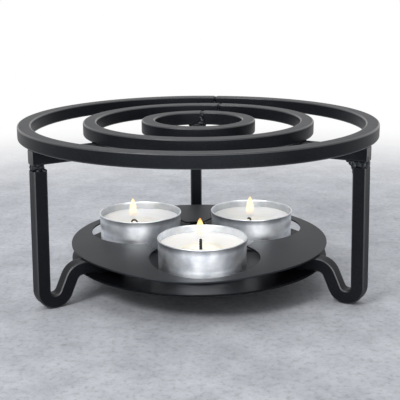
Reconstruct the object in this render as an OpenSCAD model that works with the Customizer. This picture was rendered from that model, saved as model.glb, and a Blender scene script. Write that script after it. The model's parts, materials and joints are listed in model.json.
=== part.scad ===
// Teapot warmer: three bar rings on three bent bar legs, with a round double tray for three tealights.
// The teapot stands on the rings. The tealights stand on the lower plate, inside the recess of the upper one.
// Frame: millimetres, +Z up, origin on the floor under the centre of the rings.

/* [Rings] */
// Outside diameter of the outer ring
ring_d = 160; // [150:1:190]
// Outside diameter of the middle ring
middle_ring_d = 103; // [80:1:125]
// Outside diameter of the inner ring
inner_ring_d = 51; // [40:1:64]
// Thickness of the bar that rings, spokes and legs are made of: upright in the rings and spokes
bar = 6; // [4.5:0.1:6.5]
// Width of that bar: level in the rings and spokes, and across in the legs
bar_w = 6; // [5:0.1:7.5]
// Radius on the long edges of the bar
bar_round = 0.8; // [0.3:0.1:1.2]
// Gap between the two ends of a bent ring, filled by a weld
seam_gap = 1.3; // [0.6:0.1:2.5]
// How far the seam weld lies below the bar's faces
seam_sink = 0.6; // [0.2:0.1:1.2]
// How far a spoke reaches in past the inner ring
spoke_in = 1.1; // [0.4:0.1:3]

/* [Legs] */
// Height of the rings' top face over the floor
stand_h = 74.5; // [66:0.5:90]
// How far the feet stand out past the outer ring
foot_out = 0.8; // [0:0.1:1.5]
// Lean of the legs, outwards to the floor
leg_lean = 1.3; // [0:0.1:4]
// Inside radius of the bend at the foot
foot_in_r = 2.2; // [2:0.1:4]
// Slope of the bar that rises from the foot to the tray
rise_angle = 65; // [55:1:75]
// Inside radius of the bend where the bar levels out at the tray
shoulder_in_r = 2.75; // [2:0.25:4]
// Level stretch between that bend and the tray's edge
shoulder_gap = 1.1; // [0.3:0.1:1.5]
// How far the end of the bar reaches in between the plates
tail_grip = 19; // [12:1:24]

/* [Tray] */
// Height of the lower plate's top face over the floor
tray_z = 12.5; // [10.5:0.25:18]
// Thickness of both plates
plate_t = 0.8; // [0.6:0.1:1.6]
// Width of the upper plate between a recess and the plate's edge
recess_rim = 4.6; // [3:0.1:8]
// Room around a tealight in its recess
recess_clear = 4.5; // [2:0.1:6]
// How far inside the recess centres the webs of the upper plate end
web_cut = 4.2; // [2:0.1:7]
// Turn of the recesses against the legs, seen from above
recess_turn_angle = 3.3; // [-5:0.1:5]

/* [Welds] */
// Height of the weld between a leg and its spoke
leg_weld_h = 2.6; // [1:0.1:3.5]
// Side of the fillet welds
fillet = 1.4; // [1:0.1:2]
// Length of the fillet welds that hold a leg's end to the plates
tail_weld_l = 9; // [5:0.5:11]

/* [Tealights] */
// Outside diameter of a tealight cup at its rim
cup_d = 39; // [37:0.5:41]
// Height of a tealight cup
cup_h = 15; // [13:0.5:18]
// Thickness of the cup's sheet
cup_wall = 0.4; // [0.3:0.1:0.6]
// How far the rim stands out from the wall
rim_lip = 0.3; // [0.2:0.1:0.6]
// Height of the rim
rim_h = 0.8; // [0.5:0.1:1.5]
// Corner radius at the bottom of the cup
cup_corner = 1.2; // [0.6:0.1:2]
// Depth of the wax below the rim, at the cup's wall
wax_drop = 3.6; // [2:0.1:5]
// Depth of the pool that has burnt out round the wick
pool_depth = 2.5; // [1:0.1:4]
// Radius of the pool's floor
pool_r = 8; // [5:0.5:12]
// Width of the wax that is left round the pool
wax_edge = 2.5; // [1:0.1:5]
// Diameter of the wick
wick_d = 1.3; // [1:0.1:2]
// Height of the front wick over the pool
wick_up = 5.1; // [2:0.1:6]
// Height of the two bent wicks over the pool before they bend
stub_up = 0.5; // [0.3:0.1:1.5]
// Radius of the bends in those wicks
wick_bend_r = 1.3; // [1.1:0.1:2]
// Bend of the left wick
left_wick_bend_angle = 165; // [90:1:170]
// Bend of the right wick
right_wick_bend_angle = 80; // [45:1:120]
// Diameter of the sheet foot that holds the wick
sustainer_d = 12; // [9:0.5:16]
// Thickness of that foot
sustainer_t = 0.4; // [0.3:0.1:0.6]
// Height of the foot's neck
sustainer_neck_h = 3; // [2:0.1:5]
// Wall of the foot's neck
neck_wall = 0.4; // [0.3:0.1:0.6]
// Running room between the loose pieces of a tealight
slip = 0.1; // [0.05:0.05:0.2]

/* [Hidden] */
$fn = 96;

black_steel = "#232427";
weld_black = "#2e2f32";
bright_aluminium = "#c9ccd1";
white_wax = "#f3f0e6";
burnt_cotton = "#1d1a18";
tinned_steel = "#aeb1b5";

// A small length that carries a cut past a face
past = 1;

// Directions, seen from above and counted from +X
leg_angle_back = 90;
leg_angle_left = 210;
leg_angle_right = 330;
leg_angles = [leg_angle_back, leg_angle_left, leg_angle_right];
light_angle_front = 270 + recess_turn_angle;
light_angle_left = 150 + recess_turn_angle;
light_angle_right = 30 + recess_turn_angle;
light_angles = [light_angle_front, light_angle_left, light_angle_right];

// The tealights stand loose: direction of each one's recess, and where it stands in it,
// along X and Y, as a share of the room round it
front_light = [light_angle_front, [-0.2, 0.6]];
left_light = [light_angle_left, [-0.2, 0.5]];
right_light = [light_angle_right, [0.1, 0.1]];

// Directions of the ring seams
outer_seam_angle = 82;
middle_seam_angle = 76;
inner_seam_angle = 84;

// Heights of the rings and spokes
half_bar = bar / 2;
half_w = bar_w / 2;
ring_z = stand_h - half_bar;
spoke_z = ring_z - bar;
spoke_bottom = spoke_z - half_bar;
leg_top = spoke_bottom - leg_weld_h;

// The foot's bend: its centre, and where the bar leaves it towards the tray
foot_r = foot_in_r + half_bar;
foot_x = ring_d / 2 + foot_out - foot_r - half_bar;
foot_z = foot_r + half_bar;
rise_x = foot_x - foot_r * sin(rise_angle);
rise_z = foot_z - foot_r * cos(rise_angle);

// The rise, and the shoulder bend that levels it out between the plates
shoulder_r = shoulder_in_r + half_bar;
tail_z = tray_z + half_bar;
rise_len = (tail_z - rise_z - shoulder_r * (1 - cos(rise_angle))) / sin(rise_angle);
shoulder_x = rise_x - rise_len * cos(rise_angle) - shoulder_r * sin(rise_angle);
shoulder_z = tail_z - shoulder_r;

// The plates and the recess of the upper one
plate_r = shoulder_x - shoulder_gap;
candle_plate_z = tray_z + bar;
tail_end = plate_r - tail_grip;
recess_r = cup_d / 2 + recess_clear;
light_r = plate_r - recess_rim - recess_r;
centre_r = light_r - web_cut;

// The middle of the leg's top end, in line with where the upright leaves the foot's bend
leg_top_x = foot_x + foot_r * cos(leg_lean) - (leg_top - foot_z - foot_r * sin(leg_lean)) * tan(leg_lean);

// Stations along a leg, each [x, z] and the direction across the bar there, towards the bar's upper side
bend_step_angle = 11;
foot_turn = 90 + rise_angle + leg_lean;
foot_steps = ceil(foot_turn / bend_step_angle);
shoulder_steps = ceil(rise_angle / bend_step_angle);
leg_stations = concat(
  [[leg_top_x, leg_top, -1 / cos(leg_lean), 0]],
  [
    for (i = [0 : foot_steps])
      let (a = leg_lean - foot_turn * i / foot_steps)
        [foot_x + foot_r * cos(a), foot_z + foot_r * sin(a), -cos(a), -sin(a)]
  ],
  [
    for (i = [0 : shoulder_steps])
      let (a = 90 - rise_angle + rise_angle * i / shoulder_steps)
        [shoulder_x + shoulder_r * cos(a), shoulder_z + shoulder_r * sin(a), cos(a), sin(a)]
  ],
  [[tail_end, tail_z, 0, 1]]
);

// Outline of the bar with rounded corners, as [thickness, width]
corner_step_angle = 30;
corner_steps = ceil(90 / corner_step_angle);
bar_flat = bar - 2 * bar_round;
bar_w_flat = bar_w - 2 * bar_round;
bar_outline = [
  for (corner = [0 : 3], i = [0 : corner_steps])
    let (a = 90 * (corner + i / corner_steps), mid = 90 * (corner + 1 / 2))
      [
        sign(cos(mid)) * bar_flat / 2 + bar_round * cos(a),
        sign(sin(mid)) * bar_w_flat / 2 + bar_round * sin(a)
      ]
];

// A spoke runs from inside the inner ring to the outer face of the leg's top
spoke_start = inner_ring_d / 2 - bar_w - spoke_in;
spoke_len = leg_top_x + half_bar / cos(leg_lean) - spoke_start;

// Levels in a tealight, over the plate it stands on
cup_r = cup_d / 2 - rim_lip;
cup_in_r = cup_r - cup_wall;
wax_r = cup_in_r - slip;
wax_top = cup_h - wax_drop;
pool_z = wax_top - pool_depth;
pool_flare = (wax_r - wax_edge - pool_r) / pool_depth;
wick_r = wick_d / 2;
neck_r = wick_r + slip + neck_wall;
wick_start = cup_wall + sustainer_t;

// Section of the bar with rounded corners, its width along X, centred on the origin
module bar_section() {
  square([bar_w, bar_flat], center = true);
  square([bar_w_flat, bar], center = true);
  for (x = [-1, 1], y = [-1, 1])
    translate([x * bar_w_flat / 2, y * bar_flat / 2]) circle(bar_round);
}

// A ring bent from bar, open by the seam gap at the seam's direction
module ring(outside_d, seam_angle) {
  mid_r = outside_d / 2 - half_w;
  open = seam_gap / mid_r * 180 / PI;
  translate([0, 0, ring_z])
    rotate([0, 0, seam_angle + open / 2])
      rotate_extrude(angle = 360 - open) translate([mid_r, 0]) bar_section();
}

// The weld between a ring's two ends
module seam_weld(outside_d, seam_angle) {
  mid_r = outside_d / 2 - half_w;
  open = seam_gap / mid_r * 180 / PI;
  sides = [bar_w - 2 * seam_sink, bar - 2 * seam_sink];
  translate([0, 0, ring_z])
    rotate([0, 0, seam_angle - open / 2])
      rotate_extrude(angle = open) translate([mid_r, 0]) square(sides, center = true);
}

// A spoke, under the rings
module spoke(angle) {
  rotate([0, 0, angle])
    translate([spoke_start, 0, spoke_z])
      rotate([90, 0, 90]) linear_extrude(spoke_len) bar_section();
}

// A leg: the bar's outline carried along its stations, from the cut at its top to the end of its tail
module leg(angle) {
  sides = len(bar_outline);
  last = len(leg_stations) - 1;
  corners = [
    for (s = leg_stations, q = bar_outline) [s[0] + q[0] * s[2], q[1], s[1] + q[0] * s[3]]
  ];
  walls = [
    for (i = [0 : last - 1], k = [0 : sides - 1], half = [0, 1])
      let (a = i * sides + k, b = i * sides + (k + 1) % sides)
        half == 0 ? [a, b, b + sides] : [a, b + sides, a + sides]
  ];
  top_end = [for (k = [sides - 1 : -1 : 0]) k];
  tail_end_face = [for (k = [0 : sides - 1]) last * sides + k];
  rotate([0, 0, angle]) polyhedron(corners, concat([top_end], walls, [tail_end_face]));
}

// A fillet weld along X, in the corner between a wall at y = 0 and a floor at z = 0
module fillet_weld(length) {
  translate([length / 2, 0, 0])
    rotate([90, 0, -90])
      linear_extrude(length) polygon([[0, 0], [-fillet, 0], [0, fillet]]);
}

// One fillet weld on each side of a bar that runs along X
module fillet_pair(x, z, length, up) {
  for (side = [0, 1])
    mirror([0, side, 0])
      translate([x, half_w, z])
        mirror([0, 0, up ? 0 : 1]) fillet_weld(length);
}

// The weld that stands between a leg's top and its spoke, waisted at half its height
module leg_weld(angle) {
  foot_of_weld = half_bar - bar_round / 4;
  waist = foot_of_weld - fillet / 3;
  rotate([0, 0, angle])
    translate([leg_top_x, 0, leg_top])
      rotate_extrude() polygon([
        [0, 0],
        [foot_of_weld, 0],
        [waist, leg_weld_h / 3],
        [waist, leg_weld_h * 2 / 3],
        [foot_of_weld, leg_weld_h],
        [0, leg_weld_h]
      ]);
}

// Places what stands in a tealight's recess, on the lower plate
module at_light(light) {
  recess = light_r * [cos(light[0]), sin(light[0])];
  place = recess + recess_clear * light[1];
  translate([place[0], place[1], tray_z]) children();
}

// Pressed sheet cup with a rim and a rounded bottom corner
module cup(light) {
  inner_corner = cup_corner - cup_wall;
  color(bright_aluminium) at_light(light) difference() {
    union() {
      cylinder(h = cup_corner, r1 = cup_r - cup_corner / 2, r2 = cup_r);
      translate([0, 0, cup_corner]) cylinder(h = cup_h - cup_corner, r = cup_r);
      translate([0, 0, cup_h - rim_h]) cylinder(h = rim_h, r = cup_d / 2);
    }
    translate([0, 0, cup_wall])
      cylinder(h = inner_corner, r1 = cup_in_r - cup_corner / 2, r2 = cup_in_r);
    translate([0, 0, cup_corner]) cylinder(h = cup_h - cup_corner + past, r = cup_in_r);
  }
}

// Cast wax with a burnt-out pool, a hole for the wick and a hollow for its foot
module wax(light) {
  inner_corner = cup_corner - cup_wall;
  color(white_wax) at_light(light) difference() {
    union() {
      translate([0, 0, cup_wall])
        cylinder(h = inner_corner, r1 = wax_r - cup_corner / 2, r2 = wax_r);
      translate([0, 0, cup_corner]) cylinder(h = wax_top - cup_corner, r = wax_r);
    }
    translate([0, 0, pool_z]) cylinder(h = pool_depth + past, r1 = pool_r, r2 = pool_r + pool_flare * (pool_depth + past));
    cylinder(h = wax_top + past, r = wick_r + slip);
    cylinder(h = wick_start + slip, r = sustainer_d / 2 + slip);
    cylinder(h = wick_start + sustainer_neck_h + slip, r = neck_r + slip);
  }
}

// Pressed foot that holds the wick upright
module sustainer(light) {
  color(tinned_steel) at_light(light) translate([0, 0, cup_wall]) {
    cylinder(h = sustainer_t, r = sustainer_d / 2);
    difference() {
      cylinder(h = sustainer_t + sustainer_neck_h, r = neck_r);
      translate([0, 0, sustainer_t]) cylinder(h = sustainer_neck_h + past, r = wick_r + slip);
    }
  }
}

// A wick that stands straight up
module straight_wick(light) {
  color(burnt_cotton) at_light(light)
    translate([0, 0, wick_start]) cylinder(h = pool_z + wick_up - wick_start, r = wick_r);
}

// A wick that bends over above the pool, towards -X
module bent_wick(light, bend) {
  bend_z = pool_z + stub_up;
  color(burnt_cotton) at_light(light) {
    translate([0, 0, wick_start]) cylinder(h = bend_z - wick_start, r = wick_r);
    translate([-wick_bend_r, 0, bend_z])
      rotate([90, 0, 0])
        rotate_extrude(angle = bend) translate([wick_bend_r, 0]) circle(wick_r);
  }
}

module outer_ring() { color(black_steel) ring(ring_d, outer_seam_angle); }
module middle_ring() { color(black_steel) ring(middle_ring_d, middle_seam_angle); }
module inner_ring() { color(black_steel) ring(inner_ring_d, inner_seam_angle); }

module ring_seam_welds() {
  color(weld_black) {
    seam_weld(ring_d, outer_seam_angle);
    seam_weld(middle_ring_d, middle_seam_angle);
    seam_weld(inner_ring_d, inner_seam_angle);
  }
}

module spoke_back() { color(black_steel) spoke(leg_angle_back); }
module spoke_left() { color(black_steel) spoke(leg_angle_left); }
module spoke_right() { color(black_steel) spoke(leg_angle_right); }

// Fillets under each ring, on both sides of each spoke
module spoke_welds() {
  color(weld_black)
    for (angle = leg_angles, outside_d = [ring_d, middle_ring_d, inner_ring_d])
      rotate([0, 0, angle])
        fillet_pair(outside_d / 2 - half_w, ring_z - half_bar, bar_w - 4 * bar_round, false);
}

module leg_back() { color(black_steel) leg(leg_angle_back); }
module leg_left() { color(black_steel) leg(leg_angle_left); }
module leg_right() { color(black_steel) leg(leg_angle_right); }

module leg_welds() {
  color(weld_black) for (angle = leg_angles) leg_weld(angle);
}

// Upper plate, open in the middle where three round recesses meet
module candle_plate() {
  color(black_steel) translate([0, 0, candle_plate_z]) difference() {
    cylinder(h = plate_t, r = plate_r);
    translate([0, 0, -past]) {
      cylinder(h = plate_t + 2 * past, r = centre_r);
      for (angle = light_angles)
        rotate([0, 0, angle]) translate([light_r, 0, 0]) cylinder(h = plate_t + 2 * past, r = recess_r);
    }
  }
}

// Lower plate, on which the tealights stand
module drip_plate() {
  color(black_steel) translate([0, 0, tray_z - plate_t]) cylinder(h = plate_t, r = plate_r);
}

// Fillets between the plates, on both sides of each leg's end
module plate_welds() {
  tail_mid = tail_end + tail_grip / 2;
  color(weld_black) for (angle = leg_angles) rotate([0, 0, angle]) {
    fillet_pair(tail_mid, tray_z, tail_weld_l, true);
    fillet_pair(tail_mid, candle_plate_z, tail_weld_l, false);
  }
}

module front_cup() { cup(front_light); }
module front_wax() { wax(front_light); }
module front_wick() { straight_wick(front_light); }
module front_sustainer() { sustainer(front_light); }

module left_cup() { cup(left_light); }
module left_wax() { wax(left_light); }
module left_wick() { bent_wick(left_light, left_wick_bend_angle); }
module left_sustainer() { sustainer(left_light); }

module right_cup() { cup(right_light); }
module right_wax() { wax(right_light); }
module right_wick() { bent_wick(right_light, right_wick_bend_angle); }
module right_sustainer() { sustainer(right_light); }

outer_ring();
middle_ring();
inner_ring();
ring_seam_welds();
spoke_back();
spoke_left();
spoke_right();
spoke_welds();
leg_back();
leg_left();
leg_right();
leg_welds();
candle_plate();
drip_plate();
plate_welds();
front_cup();
front_wax();
front_wick();
front_sustainer();
left_cup();
left_wax();
left_wick();
left_sustainer();
right_cup();
right_wax();
right_wick();
right_sustainer();
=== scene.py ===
# %% [markdown]
# # A black steel teapot warmer
# Three rings of square bar carry the pot. Bent bar legs hold the rings over a double tray,
# and three lit tealights stand in the tray's recess. The frame that is loaded first holds every
# piece at its real size. Each step below dresses one kind of piece, or lays down one finish.

# %% Load the frame
import json
import math

import bmesh
import bpy
from mathutils import Matrix, Vector, noise

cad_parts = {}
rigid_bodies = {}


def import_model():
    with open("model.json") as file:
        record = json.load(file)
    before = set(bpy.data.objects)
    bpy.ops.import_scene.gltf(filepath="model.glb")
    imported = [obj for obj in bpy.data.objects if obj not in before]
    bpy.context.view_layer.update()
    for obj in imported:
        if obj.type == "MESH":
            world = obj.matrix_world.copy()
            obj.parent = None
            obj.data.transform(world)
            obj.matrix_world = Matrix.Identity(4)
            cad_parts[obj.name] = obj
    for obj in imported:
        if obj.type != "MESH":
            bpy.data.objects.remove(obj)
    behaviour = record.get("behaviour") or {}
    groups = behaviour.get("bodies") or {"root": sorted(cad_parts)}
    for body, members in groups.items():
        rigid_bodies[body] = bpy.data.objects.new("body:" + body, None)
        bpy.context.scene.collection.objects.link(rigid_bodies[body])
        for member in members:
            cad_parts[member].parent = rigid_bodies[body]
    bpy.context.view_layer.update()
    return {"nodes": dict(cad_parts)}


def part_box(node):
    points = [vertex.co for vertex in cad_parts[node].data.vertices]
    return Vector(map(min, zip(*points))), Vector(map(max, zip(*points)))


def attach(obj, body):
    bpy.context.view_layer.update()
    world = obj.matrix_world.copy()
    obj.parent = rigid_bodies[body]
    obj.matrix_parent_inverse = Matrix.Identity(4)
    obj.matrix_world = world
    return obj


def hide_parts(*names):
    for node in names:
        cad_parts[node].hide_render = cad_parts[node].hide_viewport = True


for leftover in list(bpy.data.objects):
    bpy.data.objects.remove(leftover, do_unlink=True)
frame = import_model()

# %% [markdown]
# ## Sizes that the pieces share
# A learner's first habit should be to read sizes from the model and not to type them twice.
# Heights and radii come from the boxes of the loaded nodes. Only what a box can't tell is typed:
# here the angles at which the legs stand and the rings are closed, and further down small radii,
# in millimetres, where a piece needs them.

# %% Read the sizes
MM = 0.001
STAND = "stand"
LEG_TURN = {"back": 90, "left": 210, "right": 330}
RING_SEAM = {"outer": 82.0, "middle": 76.0, "inner": 84.0}

ring_low, ring_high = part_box("outer_ring")
bar = ring_high.z - ring_low.z
half_bar = bar / 2
ring_mid_z = ring_high.z - half_bar
ring_r = {name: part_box(name + "_ring")[1].x - half_bar for name in RING_SEAM}
tray_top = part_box("drip_plate")[1].z
print("bar %.1f mm, tray at %.1f mm" % (bar / MM, tray_top / MM))


def turned(degrees):
    """A turn about the stand's upright axis."""
    return Matrix.Rotation(math.radians(degrees), 4, "Z")


def from_back(degrees):
    """The turn that takes what is drawn at the back to another side."""
    return turned(degrees - LEG_TURN["back"])


# %% [markdown]
# ## The camera
# The camera stands a little to the left of the middle, six centimetres above the rings, and looks
# down by about fifteen degrees. Place, turn and lens were worked out from the ellipses of the
# three rings. A camera looks along its own -Z, so it is first rolled, then tipped up from the
# floor, then turned about the upright axis.

# %% Set the camera
CAMERA_PLACE = Vector((-7.1, -382.4, 135.0)) * MM
CAMERA_TURN = -1.14
CAMERA_TIP = 90 - 14.4
CAMERA_ROLL = -0.4
FOCAL_PIXELS = 858
IMAGE_PIXELS = 400

camera_data = bpy.data.cameras.new("camera")
camera_data.sensor_width = 36
camera_data.lens = camera_data.sensor_width * FOCAL_PIXELS / IMAGE_PIXELS
camera_data.clip_start = 10 * MM
camera = bpy.data.objects.new("camera", camera_data)
camera.matrix_world = (
    Matrix.Translation(CAMERA_PLACE)
    @ turned(CAMERA_TURN)
    @ Matrix.Rotation(math.radians(CAMERA_TIP), 4, "X")
    @ Matrix.Rotation(math.radians(CAMERA_ROLL), 4, "Z")
)
bpy.context.scene.collection.objects.link(camera)
bpy.context.scene.camera = camera
print("lens %.1f mm" % camera_data.lens)

# %% [markdown]
# ## Node helpers
# Materials are small graphs. The first three helpers keep them readable: one feeds the inputs of a
# node, where an input is a value or the socket it comes from, one adds a node, and one opens a new
# material with its Principled shader.

# %% Define how nodes are added and fed


def feed(tree, node, **inputs):
    """Sets or links inputs, given by socket name with underscores for spaces."""
    for name, value in inputs.items():
        socket = node.inputs[name.replace("_", " ")]
        if isinstance(value, bpy.types.NodeSocket):
            tree.links.new(value, socket)
        else:
            socket.default_value = value


def add_node(tree, kind, settings=None, **inputs):
    """A new node with its settings and inputs."""
    node = tree.nodes.new(kind)
    for name, value in (settings or {}).items():
        setattr(node, name, value)
    feed(tree, node, **inputs)
    return node


def new_material(name):
    """A material with its tree and its Principled shader."""
    material = bpy.data.materials.new(name)
    material.use_nodes = True
    print("new finish:", name)
    return material, material.node_tree, material.node_tree.nodes["Principled BSDF"]


# %% [markdown]
# The others wrap the nodes that nearly every finish needs. A noise on the piece's own coordinates
# is a mask between 0 and 1. A ramp turns a mask into colours, a level into a range of numbers, and
# a relief into a normal, so that a surface looks rough without more geometry.

# %% Define the nodes that most finishes need
RELIEF_DEPTH = 0.1 * MM


def object_place(tree):
    """Where a point lies in the piece's own coordinates."""
    return add_node(tree, "ShaderNodeTexCoord").outputs["Object"]


def mottle(tree, place, scale, detail, roughness=0.5):
    """A noise as a mask."""
    node = add_node(
        tree, "ShaderNodeTexNoise", Vector=place, Scale=scale, Detail=detail, Roughness=roughness,
    )
    return node.outputs["Fac"]


def ramp(tree, factor, *stops):
    """A colour ramp through stops of (position, colour)."""
    node = add_node(tree, "ShaderNodeValToRGB", Fac=factor)
    elements = node.color_ramp.elements
    elements.remove(elements[1])
    elements[0].position = stops[0][0]
    elements[0].color = (*stops[0][1], 1.0)
    for position, colour in stops[1:]:
        elements.new(position).color = (*colour, 1.0)
    return node.outputs["Color"]


def level(tree, factor, low, high):
    """Maps a mask from 0..1 to low..high."""
    node = add_node(tree, "ShaderNodeMapRange", Value=factor, To_Min=low, To_Max=high)
    return node.outputs["Result"]


def relief(tree, height, strength):
    """A bump from a height mask, as a normal."""
    node = add_node(tree, "ShaderNodeBump", Height=height, Strength=strength, Distance=RELIEF_DEPTH)
    return node.outputs["Normal"]


def joined(tree, operation, first, second):
    """Two masks joined by a Math node."""
    node = add_node(tree, "ShaderNodeMath", {"operation": operation})
    tree.links.new(first, node.inputs[0])
    tree.links.new(second, node.inputs[1])
    return node.outputs["Value"]


# %% [markdown]
# ## The powder coat, as a node group
# Powder coat is sprayed as dust and melted in an oven. It never lies quite flat: it keeps a fine
# orange peel, and its gloss drifts over a few centimetres. Bars, sheets and welds all wear it, so
# it is one node group with two noises. The group puts out a height for bump, a mask for the tone
# and a mask for the gloss, and each material decides how strongly to use them.

# %% Build the powder coat group
coat_group = bpy.data.node_groups.new("powder_coat", "ShaderNodeTree")
for socket_name in ("Peel Scale", "Patch Scale"):
    coat_group.interface.new_socket(socket_name, in_out="INPUT", socket_type="NodeSocketFloat")
for socket_name in ("Height", "Tone", "Gloss"):
    coat_group.interface.new_socket(socket_name, in_out="OUTPUT", socket_type="NodeSocketFloat")

group_in = coat_group.nodes.new("NodeGroupInput")
group_out = coat_group.nodes.new("NodeGroupOutput")
place = object_place(coat_group)
peel = mottle(coat_group, place, group_in.outputs["Peel Scale"], detail=2.0)
patches = mottle(coat_group, place, group_in.outputs["Patch Scale"], detail=3.0, roughness=0.55)
specks = joined(coat_group, "MULTIPLY", peel, patches)
feed(coat_group, group_out, Height=peel, Tone=specks, Gloss=patches)
print("group:", coat_group.name)

# %% [markdown]
# The same coat looks different on each part. On the bars it is even, on the sheets finer and
# flatter, and on the welds it lies thick over a rough ground. On the lower plate it is painted darker
# and duller, as shade for the gap between the plates.

# %% Make the four coats
COOL_SHINE = (0.82, 0.89, 1.0, 1.0)


def coated(name, peel, patch, dark, light, gloss, bump, shine):
    """A powder-coated black: noise scales, tones, limits of roughness, depth of the peel, shine."""
    material, tree, shader = new_material(name)
    coat = add_node(
        tree, "ShaderNodeGroup", {"node_tree": coat_group}, Peel_Scale=peel, Patch_Scale=patch,
    )
    feed(
        tree, shader,
        Base_Color=ramp(tree, coat.outputs["Tone"], (0.15, dark), (0.40, light)),
        Roughness=level(tree, coat.outputs["Gloss"], *gloss),
        Normal=relief(tree, coat.outputs["Height"], bump),
        Specular_IOR_Level=shine, Specular_Tint=COOL_SHINE,
    )
    return material


bar_coat = coated(
    "bar_coat", peel=1500.0, patch=40.0, dark=(0.007, 0.0078, 0.0098), light=(0.013, 0.0143, 0.0175),
    gloss=(0.34, 0.46), bump=0.12, shine=0.095,
)
sheet_coat = coated(
    "sheet_coat", peel=2200.0, patch=30.0, dark=(0.005, 0.0056, 0.0073), light=(0.010, 0.011, 0.0138),
    gloss=(0.41, 0.52), bump=0.14, shine=0.24,
)
# Painted shade: the lower plate's coat is darker and less shiny, for the gap between the plates.
shaded_under_coat = coated(
    "shaded_under_coat", peel=2200.0, patch=30.0, dark=(0.003, 0.0033, 0.0043), light=(0.006, 0.0066, 0.0083),
    gloss=(0.36, 0.46), bump=0.14, shine=0.07,
)
weld_coat = coated(
    "weld_coat", peel=700.0, patch=160.0, dark=(0.004, 0.0045, 0.006), light=(0.010, 0.011, 0.013),
    gloss=(0.30, 0.48), bump=0.22, shine=0.28,
)

# %% [markdown]
# While it melts, the coat pulls thin and smooth over the edges of a bar, so these glint. The bar's
# mesh stores where they are, as an attribute named edge, and the shader's clear coat lies only there.

# %% Let the edges of the bar glint
EDGE_ROUGHNESS = 0.40


def stored(tree, name):
    """A number that the mesh stores on its vertices."""
    return add_node(tree, "ShaderNodeAttribute", {"attribute_name": name}).outputs["Fac"]


tree = bar_coat.node_tree
shader = tree.nodes["Principled BSDF"]
feed(tree, shader, Coat_Weight=stored(tree, "edge"), Coat_Roughness=EDGE_ROUGHNESS)
print("clear coat on the edges of", bar_coat.name)

# %% [markdown]
# ## Bright sheet for the cups
# A tealight's cup is drawn from thin aluminium. The drawing leaves fine upright lines on the wall,
# and heat and handling leave it blotchy, half frosted and half bright. The upright lines come from
# a noise that is stretched along Z by a Mapping node. A second noise makes the blotches, which
# change the roughness more than the colour. The metal is also painted darker in places: inside, by
# a film of wax and soot together with painted shade; in the groove under the rolled rim, as a painted
# shadow; and on the rim itself, as painted shade that dims its highlight. How much is stored on the
# mesh, as an attribute.

# %% Make the cup's aluminium
# Film and painted shade: the tone by which the cup's metal is darkened where the mask says.
FILM_AND_SHADE_TONE = (0.60, 0.60, 0.60, 1.0)


def stretched(tree, place, *scale):
    """Coordinates scaled along X, Y and Z, which draws a noise out into lines."""
    return add_node(tree, "ShaderNodeMapping", Vector=place, Scale=scale).outputs["Vector"]


def multiplied(tree, colour, factor, tint):
    """A colour multiplied by a tint, as far as a factor says."""
    settings = {"data_type": "RGBA", "blend_type": "MULTIPLY"}
    return add_node(tree, "ShaderNodeMix", settings, Factor=factor, A=colour, B=tint).outputs["Result"]


cup_sheet, tree, shader = new_material("cup_sheet")
place = object_place(tree)
drawn_lines = mottle(tree, stretched(tree, place, 1.0, 1.0, 0.06), scale=900.0, detail=3.0)
blotches = mottle(tree, place, scale=170.0, detail=5.0, roughness=0.62)
frost = mottle(tree, place, scale=1100.0, detail=2.0)
bright = ramp(tree, blotches, (0.32, (0.72, 0.76, 0.82)), (0.62, (0.92, 0.945, 0.97)))
feed(
    tree, shader,
    Base_Color=multiplied(tree, bright, stored(tree, "film_and_shade"), FILM_AND_SHADE_TONE),
    Roughness=level(tree, blotches, 0.25, 0.50),
    Normal=relief(tree, joined(tree, "ADD", drawn_lines, frost), 0.16),
    Metallic=1.0,
)

# %% [markdown]
# The wick's foot is pressed from tinned sheet. It hides under the wax, so a plain rolled grain is
# all it needs: a noise stretched along one side.

# %% Make the tinned sheet
tinned_sheet, tree, shader = new_material("tinned_sheet")
rolled = mottle(tree, stretched(tree, object_place(tree), 0.08, 1.0, 1.0), scale=1500.0, detail=2.0)
feed(
    tree, shader,
    Base_Color=ramp(tree, rolled, (0.3, (0.52, 0.53, 0.55)), (0.7, (0.70, 0.71, 0.73))),
    Roughness=level(tree, rolled, 0.25, 0.45),
    Metallic=1.0,
)

# %% [markdown]
# ## Wax, wick and flame
# Paraffin lets light in, so its shader has some subsurface scattering. Close to the burning wick
# the wax has melted and set again: it is glossier there and a little yellow. How far a point lies
# in that pool is stored on the mesh, as an attribute named pool, when the wax is modelled. Another
# one, named lit, holds the flame's light painted on the wax as a glow, strongest on the front one.

# %% Make the wax
MELTED_TINT = (0.98, 0.93, 0.76, 1.0)
# The colour of the flame's light that is painted on the wax as emission.
CANDLE_LIGHT = (1.0, 0.95, 0.86, 1.0)

wax_finish, tree, shader = new_material("wax_finish")
place = object_place(tree)
pool = stored(tree, "pool")
clouds = mottle(tree, place, scale=210.0, detail=4.0, roughness=0.6)
pits = mottle(tree, place, scale=900.0, detail=2.0)
white = ramp(tree, clouds, (0.3, (0.93, 0.925, 0.91)), (0.7, (0.97, 0.967, 0.955)))
feed(
    tree, shader,
    Base_Color=multiplied(tree, white, pool, MELTED_TINT),
    Roughness=level(tree, pool, 0.48, 0.22),
    Normal=relief(tree, pits, 0.08),
    Emission_Color=CANDLE_LIGHT, Emission_Strength=stored(tree, "lit"),
    Subsurface_Weight=0.5, Subsurface_Radius=(1.0, 0.8, 0.55), Subsurface_Scale=2.0 * MM,
)

# %% [markdown]
# A burnt wick is charcoal on the outside, with grey ash where the braid stands proud.

# %% Make the burnt wick
wick_finish, tree, shader = new_material("wick_finish")
ash = mottle(tree, object_place(tree), scale=2600.0, detail=3.0)
feed(
    tree, shader,
    Base_Color=ramp(tree, ash, (0.45, (0.008, 0.007, 0.006)), (0.80, (0.06, 0.05, 0.045))),
    Roughness=level(tree, ash, 0.75, 0.95),
    Normal=relief(tree, ash, 0.5),
)

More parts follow.
